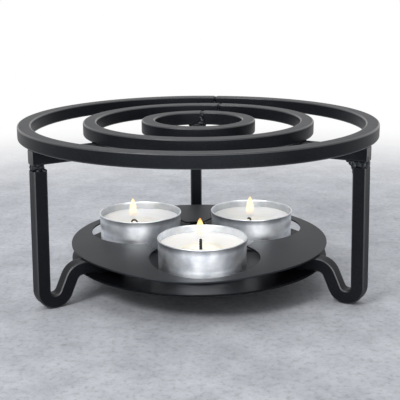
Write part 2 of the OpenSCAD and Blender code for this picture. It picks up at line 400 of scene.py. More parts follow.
# %% [markdown]
# A flame is no surface at all, only glowing gas. A thin closed drop stands for it: it emits light,
# and its alpha fades out towards the wick, where a real flame is dark and clear. The height along
# the flame is an attribute named rise, from 0 at the wick to 1 at the tip.

# %% Make the flame
FLAME_COLOUR = (
    (0.00, (1.0, 0.62, 0.30)), (0.45, (1.0, 0.87, 0.60)), (0.70, (1.0, 0.80, 0.44)),
    (1.00, (1.0, 0.42, 0.07)),
)
FLAME_BODY = ((0.16, 0.0), (0.42, 0.13), (0.62, 0.26), (0.85, 0.42), (1.0, 0.42))

flame_glow, tree, shader = new_material("flame_glow")
rise = stored(tree, "rise")
glow = ramp(tree, rise, *FLAME_COLOUR)
body = ramp(tree, rise, *[(height, (share,) * 3) for height, share in FLAME_BODY])
feed(
    tree, shader, Base_Color=glow, Alpha=body, Emission_Color=glow, Emission_Strength=1.0,
    Roughness=1.0, Specular_IOR_Level=0.0,
)

# %% [markdown]
# ## From bmesh to a finished piece
# Every new piece ends the same way: its mesh becomes an object at the origin, gets smooth shading
# with sharp edges kept, wears a finish, and rides on the body that carries it. Weighted normals
# keep the bar's flat sides flat next to their small rounded edges.

# %% Define how a piece is finished
SHARP_ANGLE = 40


def finish_piece(name, bm, finish, body, slot, *nodes, flat_sides=True):
    """Turns a bmesh into a piece that rides on a body and may stand for some nodes."""
    mesh = bpy.data.meshes.new(name)
    bm.to_mesh(mesh)
    bm.free()
    mesh.shade_smooth()
    mesh.set_sharp_from_angle(angle=math.radians(SHARP_ANGLE))
    mesh.materials.append(finish)
    piece = bpy.data.objects.new(name, mesh)
    bpy.context.scene.collection.objects.link(piece)
    if flat_sides:
        piece.modifiers.new("flat_sides", "WEIGHTED_NORMAL").keep_sharp = True
    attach(piece, body)
    if nodes:
        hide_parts(*nodes)
    print("made", name, "with", len(mesh.polygons), "faces")
    return piece


def only(kind, geometry):
    """The parts of one kind in an operator's result."""
    return [part for part in geometry if isinstance(part, kind)]


def unit(value):
    """A number held between 0 and 1."""
    return min(1.0, max(0.0, value))


# %% [markdown]
# ## Square bar
# Rings, spokes and legs are all the same square bar with rounded edges. Its end is made once: a
# single square face whose four corners are bevelled. From there the bar grows like a drawing
# without lifting the pen. Extruding the end face makes a straight stretch and spinning it makes a
# bend, and either way the last face is where the next stretch starts. The rounded corners carry a
# mark for the coat, which an extrusion or a spin copies along with the vertices.

# %% Define the bar
BAR_ROUND = 0.8 * MM
CORNER_MARGIN = 0.02 * MM
SAWN_EDGE = 0.25 * MM


def bar_end(bm, place):
    """The rounded end of the bar, moved from the XY plane to a place."""
    end = bmesh.ops.create_grid(bm, x_segments=1, y_segments=1, size=half_bar)
    bmesh.ops.bevel(
        bm, geom=end["verts"], offset=BAR_ROUND, offset_type="OFFSET",
        segments=4, profile=0.5, affect="VERTICES", material=-1,
    )
    edge = bm.verts.layers.float.new("edge")
    for vert in bm.verts:
        vert[edge] = float(max(abs(vert.co.x), abs(vert.co.y)) < half_bar - CORNER_MARGIN)
    bmesh.ops.transform(bm, matrix=place, verts=bm.verts)
    return bm.faces[:][0]


def straight(bm, face, along):
    """Extrudes the bar's end by a vector and returns the new end."""
    grown = bmesh.ops.extrude_face_region(bm, geom=[face])["geom"]
    bmesh.ops.translate(bm, vec=along, verts=only(bmesh.types.BMVert, grown))
    return only(bmesh.types.BMFace, grown)[0]


def bend(bm, face, centre, axis, degrees, steps):
    """Spins the bar's end about a centre and returns the new end."""
    spun = bmesh.ops.spin(
        bm, geom=[face], cent=centre, axis=axis,
        angle=math.radians(degrees), steps=steps, use_duplicate=False,
    )
    return only(bmesh.types.BMFace, spun["geom_last"])[0]


def soften_ends(bm):
    """Rounds the sawn edges of the bar's ends, its only faces with more than four corners."""
    ends = [face for face in bm.faces if len(face.verts) > 4]
    bmesh.ops.bevel(
        bm, geom=[edge for face in ends for edge in face.edges], offset=SAWN_EDGE, offset_type="OFFSET",
        segments=2, profile=0.5, affect="EDGES", material=-1,
    )
    bmesh.ops.recalc_face_normals(bm, faces=bm.faces)


# %% [markdown]
# ## The rings
# A ring is bar bent almost full circle. Its two ends meet at the back in a butt seam that the coat
# doesn't hide, and they never meet quite level. A full spin would lose the seam, so each ring is
# spun a little short of a turn. Then its two ends are eased up or down by a fraction of a
# millimetre, fading out along the ring.

# %% Bend the rings
UP = (0, 0, 1)
SEAM_GAP = 1.3 * MM
RING_STEPS = 180
SEAM_EASE = {"outer": (0.25, -0.30), "middle": (-0.10, 0.15), "inner": (-0.25, 0.35)}
EASE_REACH = 24 * MM


def ease_end(bm, end, height):
    """Lifts one end of a ring by a height that fades out along the ring."""
    for vert in bm.verts:
        near = unit(1.0 - (vert.co - end).length / EASE_REACH)
        vert.co.z += height * near * near


for ring_name, seam in RING_SEAM.items():
    node = ring_name + "_ring"
    middle = Vector((ring_r[ring_name], 0, ring_mid_z))
    gap = math.degrees(SEAM_GAP / ring_r[ring_name])
    start = turned(seam + gap / 2) @ Matrix.Translation(middle)
    bm = bmesh.new()
    first_end = bar_end(bm, start @ Matrix.Rotation(math.radians(90), 4, "X"))
    bend(bm, first_end, (0, 0, 0), UP, 360 - gap, RING_STEPS)
    soften_ends(bm)
    for turn, height in zip((seam + gap / 2, seam - gap / 2), SEAM_EASE[ring_name]):
        ease_end(bm, turned(turn) @ middle, height * MM)
    finish_piece(node + "_bar", bm, bar_coat, STAND, "black_steel", node)

# %% [markdown]
# ## The spokes
# Three straight bars lie under the rings and hold them together. A shear cut them to length, and
# a shear leaves the end a little spread. So a last short stretch at the outer end is extruded and
# scaled up by a few percent.

# %% Cut the spokes
SPREAD = 1.05
SPREAD_LENGTH = 0.7 * MM
spoke_low, spoke_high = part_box("spoke_back")
spoke_mid_z = ring_mid_z - bar
spoke_reach = spoke_high.y - spoke_low.y - SPREAD_LENGTH


def spread_end(bm, face):
    """Extrudes a short, slightly wider end, as a shear leaves it."""
    face = straight(bm, face, (0, SPREAD_LENGTH, 0))
    to_middle = Matrix.Translation(-face.calc_center_median())
    bmesh.ops.scale(bm, vec=(SPREAD, SPREAD, SPREAD), space=to_middle, verts=face.verts)


for side, turn in LEG_TURN.items():
    bm = bmesh.new()
    start = Matrix.Translation((0, spoke_low.y, spoke_mid_z))
    inner_end = bar_end(bm, start @ Matrix.Rotation(math.radians(-90), 4, "X"))
    spread_end(bm, straight(bm, inner_end, (0, spoke_reach, 0)))
    soften_ends(bm)
    bmesh.ops.transform(bm, matrix=from_back(turn), verts=bm.verts)
    finish_piece("spoke_bar_" + side, bm, bar_coat, STAND, "black_steel", "spoke_" + side)

# %% [markdown]
# ## The legs
# One bar makes the whole leg: it comes down with a slight outward lean, turns tightly at the foot,
# climbs to the tray and levels out between the two plates. The back leg lies in the YZ plane, so
# it is drawn there and then turned to each of the three places. Its bends are worked out from the
# foot's reach and the tray's height, as they are in the frame.

# %% Work out the bends of a leg
LEAN = 1.3
FOOT_INSIDE = 2.2 * MM
RISE = 65
SHOULDER_INSIDE = 2.75 * MM

leg_low, leg_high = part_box("leg_back")
foot_r = FOOT_INSIDE + half_bar
foot_y = leg_high.y - foot_r - half_bar
foot_z = foot_r + half_bar
shoulder_r = SHOULDER_INSIDE + half_bar
tail_z = tray_top + half_bar
rise_sin = math.sin(math.radians(RISE))
rise_cos = math.cos(math.radians(RISE))
rise_length = (tail_z - foot_z + foot_r * rise_cos - shoulder_r * (1 - rise_cos)) / rise_sin
shoulder_y = foot_y - (foot_r + shoulder_r) * rise_sin - rise_length * rise_cos
lean_tan = math.tan(math.radians(LEAN))
lean_cos = math.cos(math.radians(LEAN))
lean_sin = math.sin(math.radians(LEAN))
upright_end = Vector((0, foot_y + foot_r * lean_cos, foot_z + foot_r * lean_sin))
leg_top_z = leg_high.z
leg_top_y = upright_end.y - (leg_top_z - upright_end.z) * lean_tan
leg_top = Vector((0, leg_top_y, leg_top_z))
print("leg climbs %.1f mm between its bends" % (rise_length / MM))

# %% Bend the legs
FOOT_STEPS = 40
SHOULDER_STEPS = 18
ACROSS = (1, 0, 0)

for side, turn in LEG_TURN.items():
    bm = bmesh.new()
    tilt = Matrix.Rotation(math.radians(LEAN), 4, "X")
    end = bar_end(bm, Matrix.Translation(leg_top) @ tilt)
    end = straight(bm, end, upright_end - leg_top)
    end = bend(bm, end, (0, foot_y, foot_z), ACROSS, -(90 + RISE + LEAN), FOOT_STEPS)
    end = straight(bm, end, (0, -rise_length * rise_cos, rise_length * rise_sin))
    end = bend(bm, end, (0, shoulder_y, tail_z - shoulder_r), ACROSS, RISE, SHOULDER_STEPS)
    straight(bm, end, (0, leg_low.y - shoulder_y, 0))
    soften_ends(bm)
    bmesh.ops.transform(bm, matrix=from_back(turn), verts=bm.verts)
    finish_piece("leg_bar_" + side, bm, bar_coat, STAND, "black_steel", "leg_" + side)

# %% [markdown]
# ## Welds
# A weld is a frozen drop of metal, round and uneven. Modelling each one by hand would take long,
# so a weld is a handful of overlapping balls with a noisy skin, which a voxel remesh then melts
# into one closed surface. That is close to what happens on the bench, too.

# %% Define the weld
LUMPS = 0.16
LUMP_SCALE = 1.7
MELT_VOXEL = 0.16 * MM
SETTLE_SHARE = 0.5
SETTLE_TIMES = 3


def weld_drops(name, drops, node):
    """One piece of melted drops, each (place as a matrix, half sizes along its X, Y and Z)."""
    bm = bmesh.new()
    for place, size in drops:
        ball = bmesh.ops.create_icosphere(bm, subdivisions=3, radius=1.0)["verts"]
        for vert in ball:
            vert.co *= 1.0 + LUMPS * noise.noise(vert.co * LUMP_SCALE + place.translation / MM)
        bmesh.ops.scale(bm, vec=size, verts=ball)
        bmesh.ops.transform(bm, matrix=place, verts=ball)
    piece = finish_piece(name, bm, weld_coat, STAND, "coated_weld", node, flat_sides=False)
    melt = piece.modifiers.new("melt", "REMESH")
    melt.mode = "VOXEL"
    melt.voxel_size = MELT_VOXEL
    melt.use_smooth_shade = True
    settle = piece.modifiers.new("settle", "SMOOTH")
    settle.factor = SETTLE_SHARE
    settle.iterations = SETTLE_TIMES


def drop(turn, across, out, height, *size):
    """A drop's place and half sizes in mm, seen from the stand's axis along a direction."""
    return from_back(turn) @ Matrix.Translation(Vector((across, out, height)) * MM), Vector(size) * MM


# %% [markdown]
# The leg's top doesn't reach its spoke: the weld between them is a neck about as thick as the bar.
# The left one has a round bead that ran down the leg, and the right one fills the inner corner with
# a long fillet. Each drop has its place in millimetres across, outwards and up from the middle of
# the leg's top, and then its three half sizes.

# %% Weld the legs to the spokes
LEG_DROPS = {
    "left": (
        (0.0, 0.0, 1.2, 2.8, 2.8, 2.1), (0.1, 0.1, 2.5, 2.9, 2.9, 0.9), (-2.1, 0.9, -0.3, 0.9, 1.0, 1.1),
        (1.9, 1.9, 1.2, 1.1, 1.1, 1.7), (-1.8, -2.0, -0.1, 1.3, 1.2, 0.9),
        (-1.6, 1.3, 1.5, 1.2, 1.1, 1.2), (0.6, -1.9, 2.3, 1.6, 0.9, 0.8), (-1.0, 2.2, 3.4, 1.3, 0.6, 1.3),
    ),
    "right": (
        (0.0, 0.0, 1.2, 2.9, 2.9, 2.1), (0.3, -2.6, 0.6, 2.7, 1.8, 2.9), (0.4, -3.6, 1.6, 2.5, 1.8, 1.5),
        (0.2, -4.9, 2.3, 2.3, 1.8, 0.8), (0.2, -2.5, -1.4, 2.7, 1.0, 2.4), (0.2, 2.3, 2.0, 2.5, 1.1, 1.9),
        (-1.9, 1.9, 1.2, 1.2, 1.2, 1.8), (1.9, 1.8, 1.0, 1.1, 1.2, 1.8),
        (0.6, 2.5, 0.5, 1.7, 0.6, 1.4), (1.0, 2.6, 4.0, 1.2, 0.6, 1.3), (2.2, -0.6, 1.0, 0.8, 0.9, 0.9),
        (2.3, 1.5, -0.1, 0.7, 0.8, 1.1),
    ),
    "back": (
        (0.0, 0.0, 1.2, 2.7, 2.7, 2.1), (0.0, 0.2, 2.4, 2.8, 2.8, 0.9), (1.7, 1.6, 0.3, 1.0, 1.0, 1.2),
        (-0.8, 2.3, 1.8, 1.4, 0.8, 1.4), (0.4, -2.2, 1.9, 1.8, 0.9, 1.0),
    ),
}
leg_drops = [
    drop(LEG_TURN[side], across, out + leg_top_y / MM, up + leg_top_z / MM, *size)
    for side, drops in LEG_DROPS.items()
    for across, out, up, *size in drops
]
weld_drops("leg_weld_beads", leg_drops, "leg_welds")

# %% [markdown]
# The seams of the rings are filled from below and left rough. Each one is a short stack of drops
# that stays under the faces of the bar, and on the inner ring a run of weld stands out inside.

# %% Weld the ring seams
SEAM_DROPS = (
    (0.1, -1.6, 1.2, 2.8, 1.2), (-0.1, 0.0, 1.2, 2.8, 1.3), (0.05, 1.8, 1.2, 2.8, 1.2),
)
INNER_RUN = (
    (0.1, -0.1, 1.5, 0.9, 0.5, 0.9), (-0.5, 0.0, 0.2, 1.0, 0.6, 1.0), (0.2, -0.2, -1.0, 1.2, 0.8, 1.0),
    (-0.6, -0.2, -2.2, 1.9, 0.9, 0.8),
)
seam_z = ring_mid_z / MM
inner_face = (ring_r["inner"] - half_bar) / MM
seam_drops = [
    drop(seam, across, ring_r[ring_name] / MM, seam_z + up, *size)
    for ring_name, seam in RING_SEAM.items()
    for across, up, *size in SEAM_DROPS
]
seam_drops += [
    drop(RING_SEAM["inner"], across, inner_face + inward, seam_z + up, *size)
    for across, inward, up, *size in INNER_RUN
]
weld_drops("ring_seam_beads", seam_drops, "ring_seam_welds")

# %% [markdown]
# Where a ring lies on a spoke, a short bead runs along both sides of the spoke, under the ring.
# The inner ends of the spokes got a spot more, because that is where the rings were tacked first.

# %% Weld the rings to the spokes
BEAD_STEPS = ((-1.3, 0.9), (-0.3, 1.1), (0.7, 0.95), (1.5, 0.8))
BEAD_SIZE = (0.9, 0.9, 0.8)
BEAD_DOWN = 0.35
BEAD_ASIDE = 0.25
TACKS = ((-0.3, 0.5, -0.1, 2.2, 0.9, 0.8), (1.4, 0.3, -0.9, 1.0, 0.7, 0.9))

under_ring = ring_low.z / MM
bead_z = under_ring - BEAD_DOWN
beside_spoke = half_bar / MM + BEAD_ASIDE
wide, long, tall = BEAD_SIZE
spoke_drops = []
for turn in LEG_TURN.values():
    for radius in ring_r.values():
        for across in (-beside_spoke, beside_spoke):
            spoke_drops += [
                drop(turn, across, radius / MM + step, bead_z, wide * swell, long, tall * swell)
                for step, swell in BEAD_STEPS
            ]
    spoke_drops += [
        drop(turn, across, spoke_low.y / MM + out, under_ring + up, *size)
        for across, out, up, *size in TACKS
    ]
weld_drops("spoke_weld_beads", spoke_drops, "spoke_welds")

# %% [markdown]
# ## The upper plate
# The upper plate is flat sheet with a three-lobed opening: three round recesses that run into each
# other. A cutter would make it with Booleans, but those leave messy edges that bevel badly. Here
# the opening is one loop of arcs instead: a single vertex is spun round each recess and then round
# the middle, and the loop is bridged to a circle. The sheet is then extruded and its edges bevelled.

# %% Define how sheet is drawn and thickened
SHEET_EDGE = 0.22 * MM
CUT_ANGLE = 60


def arc(bm, vert, centre, angle, steps):
    """Spins one vertex into an arc and returns the arc's last vertex."""
    spun = bmesh.ops.spin(
        bm, geom=[vert], cent=centre, axis=UP, angle=angle, steps=steps, use_duplicate=False,
    )
    return only(bmesh.types.BMVert, spun["geom_last"])[0]


def thicken_sheet(bm, thickness):
    """Extrudes flat faces upwards and rounds the cut edges."""
    grown = bmesh.ops.extrude_face_region(bm, geom=bm.faces[:])["geom"]
    bmesh.ops.translate(bm, vec=(0, 0, thickness), verts=only(bmesh.types.BMVert, grown))
    bmesh.ops.recalc_face_normals(bm, faces=bm.faces)
    cut = [
        edge for edge in bm.edges
        if edge.is_manifold and edge.calc_face_angle() > math.radians(CUT_ANGLE)
    ]
    bmesh.ops.bevel(
        bm, geom=cut, offset=SHEET_EDGE, offset_type="OFFSET",
        segments=3, profile=0.5, affect="EDGES", material=-1,
    )


# %% Cut the upper plate
RECESSES = {"right": 30, "left": 150, "front": 270}
RECESS_TURN = 3.3
RECESS_ROOM = 4.5 * MM
RECESS_RIM = 4.6 * MM
WEB_CUT = 4.2 * MM
LOBE_STEPS = 72
HUB_STEPS = 8
EDGE_STEPS = 240
SAME_SPOT = 0.002 * MM

plate_low, plate_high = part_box("candle_plate")
plate_r = plate_high.x
cup_low, cup_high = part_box("right_cup")
recess_r = (cup_high.x - cup_low.x) / 2 + RECESS_ROOM
recess_out = plate_r - RECESS_RIM - recess_r
hub_r = recess_out - WEB_CUT
lobe_half = math.acos((hub_r ** 2 + recess_out ** 2 - recess_r ** 2) / (2 * hub_r * recess_out))
lobe_turn = 2 * math.pi - 2 * math.acos(
    (recess_out ** 2 + recess_r ** 2 - hub_r ** 2) / (2 * recess_out * recess_r)
)
hub_turn = math.radians(360 / len(RECESSES)) - 2 * lobe_half

bm = bmesh.new()
first_corner = RECESSES["right"] + RECESS_TURN - math.degrees(lobe_half)
pen = bm.verts.new(turned(first_corner) @ Vector((hub_r, 0, plate_low.z)))
for turn in RECESSES.values():
    recess = turned(turn + RECESS_TURN) @ Vector((recess_out, 0, 0))
    pen = arc(bm, pen, recess, lobe_turn, LOBE_STEPS)
    pen = arc(bm, pen, (0, 0, 0), hub_turn, HUB_STEPS)
bmesh.ops.remove_doubles(bm, verts=bm.verts, dist=SAME_SPOT)
on_plate = Matrix.Translation((0, 0, plate_low.z))
bmesh.ops.create_circle(bm, cap_ends=False, radius=plate_r, segments=EDGE_STEPS, matrix=on_plate)
bmesh.ops.bridge_loops(bm, edges=bm.edges[:])
print("upper plate bridged with", len(bm.faces), "faces")
thicken_sheet(bm, plate_high.z - plate_low.z)

# %% [markdown]
# Thin sheet sags where no leg holds it. So the narrow front rim is let down a little, most at its
# middle and at its edge, before the mesh becomes a piece.

# %% Let the front rim sag
SAG = 1.5 * MM
SAG_TURN = 264
SAG_SPREAD = 42

for vert in bm.verts:
    turn = math.degrees(math.atan2(vert.co.y, vert.co.x)) % 360
    aside = unit(abs(turn - SAG_TURN) / SAG_SPREAD)
    outward = unit((vert.co.to_2d().length - hub_r) / (plate_r - RECESS_RIM - hub_r))
    vert.co.z -= SAG * math.cos(math.radians(90 * aside)) ** 2 * outward
finish_piece("candle_plate_sheet", bm, sheet_coat, STAND, "black_sheet", "candle_plate")

# %% [markdown]
# The lower plate is a plain disc of the same sheet. It catches drips, and the tealights stand on it.
# Its coat is painted darker and duller than the upper plate's, as shade under the upper plate.

# %% Cut the lower plate
drip_low, drip_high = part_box("drip_plate")
bm = bmesh.new()
on_plate = Matrix.Translation((0, 0, drip_low.z))
bmesh.ops.create_circle(bm, cap_ends=True, radius=drip_high.x, segments=EDGE_STEPS, matrix=on_plate)
thicken_sheet(bm, drip_high.z - drip_low.z)
finish_piece("drip_plate_sheet", bm, shaded_under_coat, STAND, "black_sheet", "drip_plate")

# %% [markdown]
# ## Turned shapes
# Cups, wax and flames are round about an upright axis, so each one is a profile that is spun full
# circle. A profile is a few points of radius and height in millimetres. The spin merges its last
# step with its first, and points on the axis fall together in one pole. What a finish needs to know
# about such a piece is measured at each vertex and stored on the mesh.

# %% Define how a profile is turned


def light_place(side):
    """The middle of a tealight, on the lower plate."""
    low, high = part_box(side + "_cup")
    return Vector(((low.x + high.x) / 2, (low.y + high.y) / 2, tray_top))


def turn_profile(points, side, steps, closed, bm=None):
    """Spins points of (radius, height) in mm about a tealight's axis, over the lower plate."""
    bm = bm or bmesh.new()
    foot = light_place(side)
    chain = [bm.verts.new(foot + Vector((radius, 0, height)) * MM) for radius, height in points]
    links = [bm.edges.new(pair) for pair in zip(chain, chain[1:] + (chain[:1] if closed else []))]
    bmesh.ops.spin(
        bm, geom=chain + links, cent=foot, axis=UP,
        angle=2 * math.pi, steps=steps, use_merge=True, use_duplicate=False,
    )
    bmesh.ops.remove_doubles(bm, verts=bm.verts, dist=SAME_SPOT)
    bmesh.ops.recalc_face_normals(bm, faces=bm.faces)
    return bm


def finish_light(name, bm, finish, side, slot, *nodes):
    """Finishes a round piece of a tealight, which moves with it."""
    return finish_piece(name, bm, finish, side + "_tealight", slot, *nodes, flat_sides=False)


def store(piece, name, measure):
    """Writes a number per vertex to an attribute of the piece."""
    values = piece.data.attributes.new(name, "FLOAT", "POINT").data
    for value, vert in zip(values, piece.data.vertices):
        value.value = measure(vert)


# %% [markdown]
# ## The tealight cups
# A cup is pressed from foil-thin sheet: a wall with hardly any draft, a bead pressed in low down, a
# rounded corner to the base, and a rim that is rolled outwards. Nobody's tealight is perfectly round
# after it was packed, so a slow noise pushes the wall in and out by a tenth of a millimetre and lets
# the rim wave a little.

# %% Define the dents of a cup and where it is painted darker
DENT = 0.13 * MM
DENT_FROM = 15 * MM
DENT_SCALE = 130
DENT_STRETCH = 0.6
DENT_SHIFT = 500
RIM_START = 13.8 * MM
RIM_WAVE = 0.13 * MM
WAVE_SCALE = 160
WAVE_SHIFT = 700
# How dark each cup is painted inside, for film and shade; the groove is painted shadow, the rim painted
# shade.
INSIDE_FILM_AND_SHADE = {"front": 0.45, "left": 1.0, "right": 1.0}
RIM_GROOVE = (14.0 * MM, 14.45 * MM)
RIM_PAINTED_SHADE = 0.55
FACING_IN = -0.3


def dent_cup(bm, foot):
    """Pushes a cup's wall in and out and lets its rim wave, differently for each place."""
    for vert in bm.verts:
        out = vert.co - foot
        height = out.z
        out.z = 0
        if out.length > DENT_FROM:
            spot = Vector((out.x, out.y, height * DENT_STRETCH)) * DENT_SCALE + foot * DENT_SHIFT
            vert.co += out.normalized() * DENT * noise.noise(spot)
        if height > RIM_START:
            wave = noise.noise(out * WAVE_SCALE + foot * WAVE_SHIFT)
            vert.co.z += RIM_WAVE * wave - RIM_WAVE / 2


def film_and_shade_mask(vert, foot, inside_film_and_shade):
    """How much a cup is darkened: fully in the groove under the rim as painted shadow, less on the rim as
    painted shade, and inside by a film of wax and soot with painted shade.
    """
    out = (vert.co - foot).to_2d().normalized()
    inside = vert.normal.to_2d().dot(out) < FACING_IN
    height = vert.co.z - foot.z
    if height > RIM_GROOVE[1]:
        return RIM_PAINTED_SHADE
    return inside_film_and_shade * inside or float(height > RIM_GROOVE[0])


# %% Press the cups
CUP_PROFILE = (
    (0.0, 0.22), (12.6, 0.22), (13.3, 0.0), (17.9, 0.0), (18.45, 0.12), (18.83, 0.42), (19.02, 0.90),
    (19.08, 1.6), (19.10, 4.1), (19.09, 4.5), (19.07, 4.9), (19.065, 5.3), (19.08, 5.8), (19.10, 6.3),
    (19.14, 8.5), (19.18, 12.0), (19.20, 14.2), (19.25, 14.42), (19.42, 14.50), (19.5, 14.62),
    (19.49, 14.82), (19.38, 14.95), (19.2, 15.0), (19.02, 14.96), (18.90, 14.82), (18.85, 14.5),
    (18.84, 13.9), (18.82, 8.0), (18.80, 1.6), (18.62, 0.85), (18.2, 0.5), (17.8, 0.4), (0.0, 0.4),
)
CUP_STEPS = 160

for side in RECESSES:
    foot = light_place(side)
    bm = turn_profile(CUP_PROFILE, side, CUP_STEPS, closed=False)
    dent_cup(bm, foot)
    piece = finish_light(side + "_cup_sheet", bm, cup_sheet, side, "cup_aluminium", side + "_cup")
    store(piece, "film_and_shade", lambda vert: film_and_shade_mask(vert, foot, INSIDE_FILM_AND_SHADE[side]))

# %% [markdown]
# ## The wax
# The wax creeps up the wall a little where it set first, and it sank in a shallow pool round the
# wick. The profile goes all round the wax, with the hole for the wick and the hollow for its foot,
# so the wax is a closed body as cast. The pool's mask is stored on each vertex by its radius. A wick
# floats a little aside while the wax is liquid, so the wax near the wick is moved with it.

# %% Define the drift of a wick and the pool round it
WICK_DRIFT = {"front": -0.7 * MM, "left": -1.8 * MM, "right": -0.4 * MM}
DRIFT_HEIGHT = (3 * MM, 9 * MM)
DRIFT_REACH = 9 * MM
POOL_EDGE = (11.0 * MM, 9.0 * MM)


def drift(side, height):
    """How far a wick leans to one side at a height."""
    low, high = DRIFT_HEIGHT
    return WICK_DRIFT[side] * unit((height - tray_top - low) / (high - low))


def pool_mask(vert, foot):
    """1 in the pool, 0 outside, with a soft edge."""
    outer, inner = POOL_EDGE
    return unit((outer - (vert.co - foot).to_2d().length) / (outer - inner))


# %% Cast the wax
WAX_PROFILE = (
    (6.1, 0.42), (17.6, 0.42), (18.3, 0.75), (18.7, 1.3), (18.7, 11.5), (18.62, 11.6), (18.3, 11.35),
    (17.6, 11.18), (16.4, 11.02), (15.0, 10.82), (13.4, 10.50), (12.0, 10.05), (10.9, 9.55), (10.0, 9.20),
    (9.2, 9.02), (8.2, 8.94), (5.0, 8.90), (2.2, 8.92), (1.3, 9.02), (0.95, 9.2), (0.75, 9.3), (0.75, 3.9),
    (1.25, 3.9), (1.25, 0.9), (6.1, 0.9),
)
WAX_STEPS = 96
POOL_TINT = {"front": 1.0, "left": 0.45, "right": 0.35}
# How much of its flame's light is painted on each wax as a glow.
PAINTED_FLAME_GLOW = {"front": 0.17, "left": 0.05, "right": 0.02}

for side in RECESSES:
    foot = light_place(side)
    bm = turn_profile(WAX_PROFILE, side, WAX_STEPS, closed=True)
    for vert in bm.verts:
        near = unit(1 - (vert.co - foot).to_2d().length / DRIFT_REACH)
        vert.co.x += drift(side, vert.co.z) * near
    piece = finish_light(side + "_wax_cast", bm, wax_finish, side, "wax", side + "_wax")
    store(piece, "pool", lambda vert: POOL_TINT[side] * pool_mask(vert, foot))
    store(piece, "lit", lambda vert: PAINTED_FLAME_GLOW[side])

# %% [markdown]
# ## The wicks
# A wick is a loose cord of cotton, stiff with wax. Three strands are enough to read as twisted: each
# is a small circle that is spun round the wick's axis while it climbs, which is what the dvec of a
# spin is for. The front wick stands straight. The other two have curled over as they burned, and
# bending them is one formula: above the wax, height along the wick becomes an angle round a bend.
# A curled wick's row gives its angle, the radius of the bend, and what stands straight below it.

# %% Define how a wick is twisted and curled
STRANDS = 3
STRAND_R = 0.40 * MM
STRAND_OUT = 0.30 * MM
STRAND_SIDES = 10
TWIST_PITCH = 3.4 * MM
TWIST_STEPS = 70
TIP_LENGTH = 0.5 * MM
TIP_TAPER = 0.45


def twist_strands(length):
    """A straight wick of twisted strands, standing on the origin."""
    bm = bmesh.new()
    for strand in range(STRANDS):
        start = turned(strand * 360 / STRANDS) @ Matrix.Translation((STRAND_OUT, 0, 0))
        ring = bmesh.ops.create_circle(
            bm, cap_ends=True, radius=STRAND_R, segments=STRAND_SIDES, matrix=start,
        )
        bmesh.ops.spin(
            bm, geom=[ring["verts"][0].link_faces[0]], cent=(0, 0, 0), axis=UP,
            dvec=(0, 0, length / TWIST_STEPS), angle=2 * math.pi * length / TWIST_PITCH,
            steps=TWIST_STEPS, use_duplicate=False,
        )
    bmesh.ops.recalc_face_normals(bm, faces=bm.faces)
    for vert in bm.verts:
        burnt = unit(1 - (length - vert.co.z) / TIP_LENGTH)
        vert.co.xy *= 1 - TIP_TAPER * burnt * burnt
    return bm


def curl_over(bm, bend_z, bend_r):
    """Rolls what stands above a height round a bend."""
    for vert in bm.verts:
        if vert.co.z > bend_z:
            angle = (vert.co.z - bend_z) / bend_r
            reach = bend_r + vert.co.x
            vert.co.x = reach * math.cos(angle) - bend_r
            vert.co.z = bend_z + reach * math.sin(angle)


# %% Twist the wicks
WICK_UP = 5.1 * MM
WICK_CURL = {"left": (170, 1.3 * MM, 0.6 * MM), "right": (150, 0.75 * MM, 1.0 * MM)}
WICK_THIN = {"front": 1.0, "left": 0.62, "right": 0.66}

pool_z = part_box("front_wick")[1].z - WICK_UP
for side, thin in WICK_THIN.items():
    foot = light_place(side)
    low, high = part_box(side + "_wick")
    length = high.z - low.z
    if side in WICK_CURL:
        curl, bend_r, stub = WICK_CURL[side]
        bend_z = pool_z + stub - low.z
        length = bend_z + math.radians(curl) * bend_r
    bm = twist_strands(length)
    for vert in bm.verts:
        vert.co.xy *= thin
    if side in WICK_CURL:
        curl_over(bm, bend_z, bend_r)
    for vert in bm.verts:
        vert.co.x += drift(side, vert.co.z + low.z)
    bmesh.ops.translate(bm, vec=(foot.x, foot.y, low.z), verts=bm.verts)
    finish_light(side + "_wick_cord", bm, wick_finish, side, "wick", side + "_wick")

# %% [markdown]
# ## The flames
# Each flame is a drop with a pointed top, spun like the cups and smoothed by a subdivision surface.
# One drop would have a hard edge, so four thin ones sit inside each other and the glow adds up
# towards the middle. The flame stands over its wick and moves with its tealight. The mask for the
# glow is the height along the flame, a little less in the two that burn paler. A flame's row gives
# its base, tip, half width and place aside in millimetres, and how far its mask goes.

# %% Light the flames
FLAME_PROFILE = (
    (0.0, 0.0), (0.60, 0.02), (0.92, 0.10), (1.0, 0.22), (0.95, 0.38), (0.80, 0.56), (0.58, 0.74),
    (0.32, 0.89), (0.0, 1.0),
)
FLAME_STEPS = 24
FLAME_SHELLS = (1.0, 0.82, 0.62, 0.40)
SHELL_DROP = 1.6
FLAMES = {
    "front": (26.6, 36.0, 2.2, -0.9, 1.0),
    "left": (22.6, 34.2, 2.4, -3.5, 0.82),
    "right": (22.6, 34.2, 2.4, -0.7, 0.86),
}

for side, (base, tip, width, aside, hottest) in FLAMES.items():
    bm = bmesh.new()
    for share in FLAME_SHELLS:
        shell_low = base - tray_top / MM
        shell_tall = tip - (1 - share) * SHELL_DROP - base
        outline = [
            (radius * width * share, shell_low + height * shell_tall) for radius, height in FLAME_PROFILE
        ]
        turn_profile(outline, side, FLAME_STEPS, closed=False, bm=bm)
    bmesh.ops.translate(bm, vec=(aside * MM, 0, 0), verts=bm.verts)
    piece = finish_light(side + "_flame", bm, flame_glow, side, "wick")
    store(piece, "rise", lambda vert: hottest * (vert.co.z / MM - base) / (tip - base))
    smooth = piece.modifiers.new("smooth", "SUBSURF")
    smooth.levels = smooth.render_levels = 2

# %% [markdown]
# ## Pieces that stay as they are
# The welds between the plates and the wicks' feet hardly show, and their shapes are right already.
# They keep their meshes and only get a finish, in the slots of their own objects.

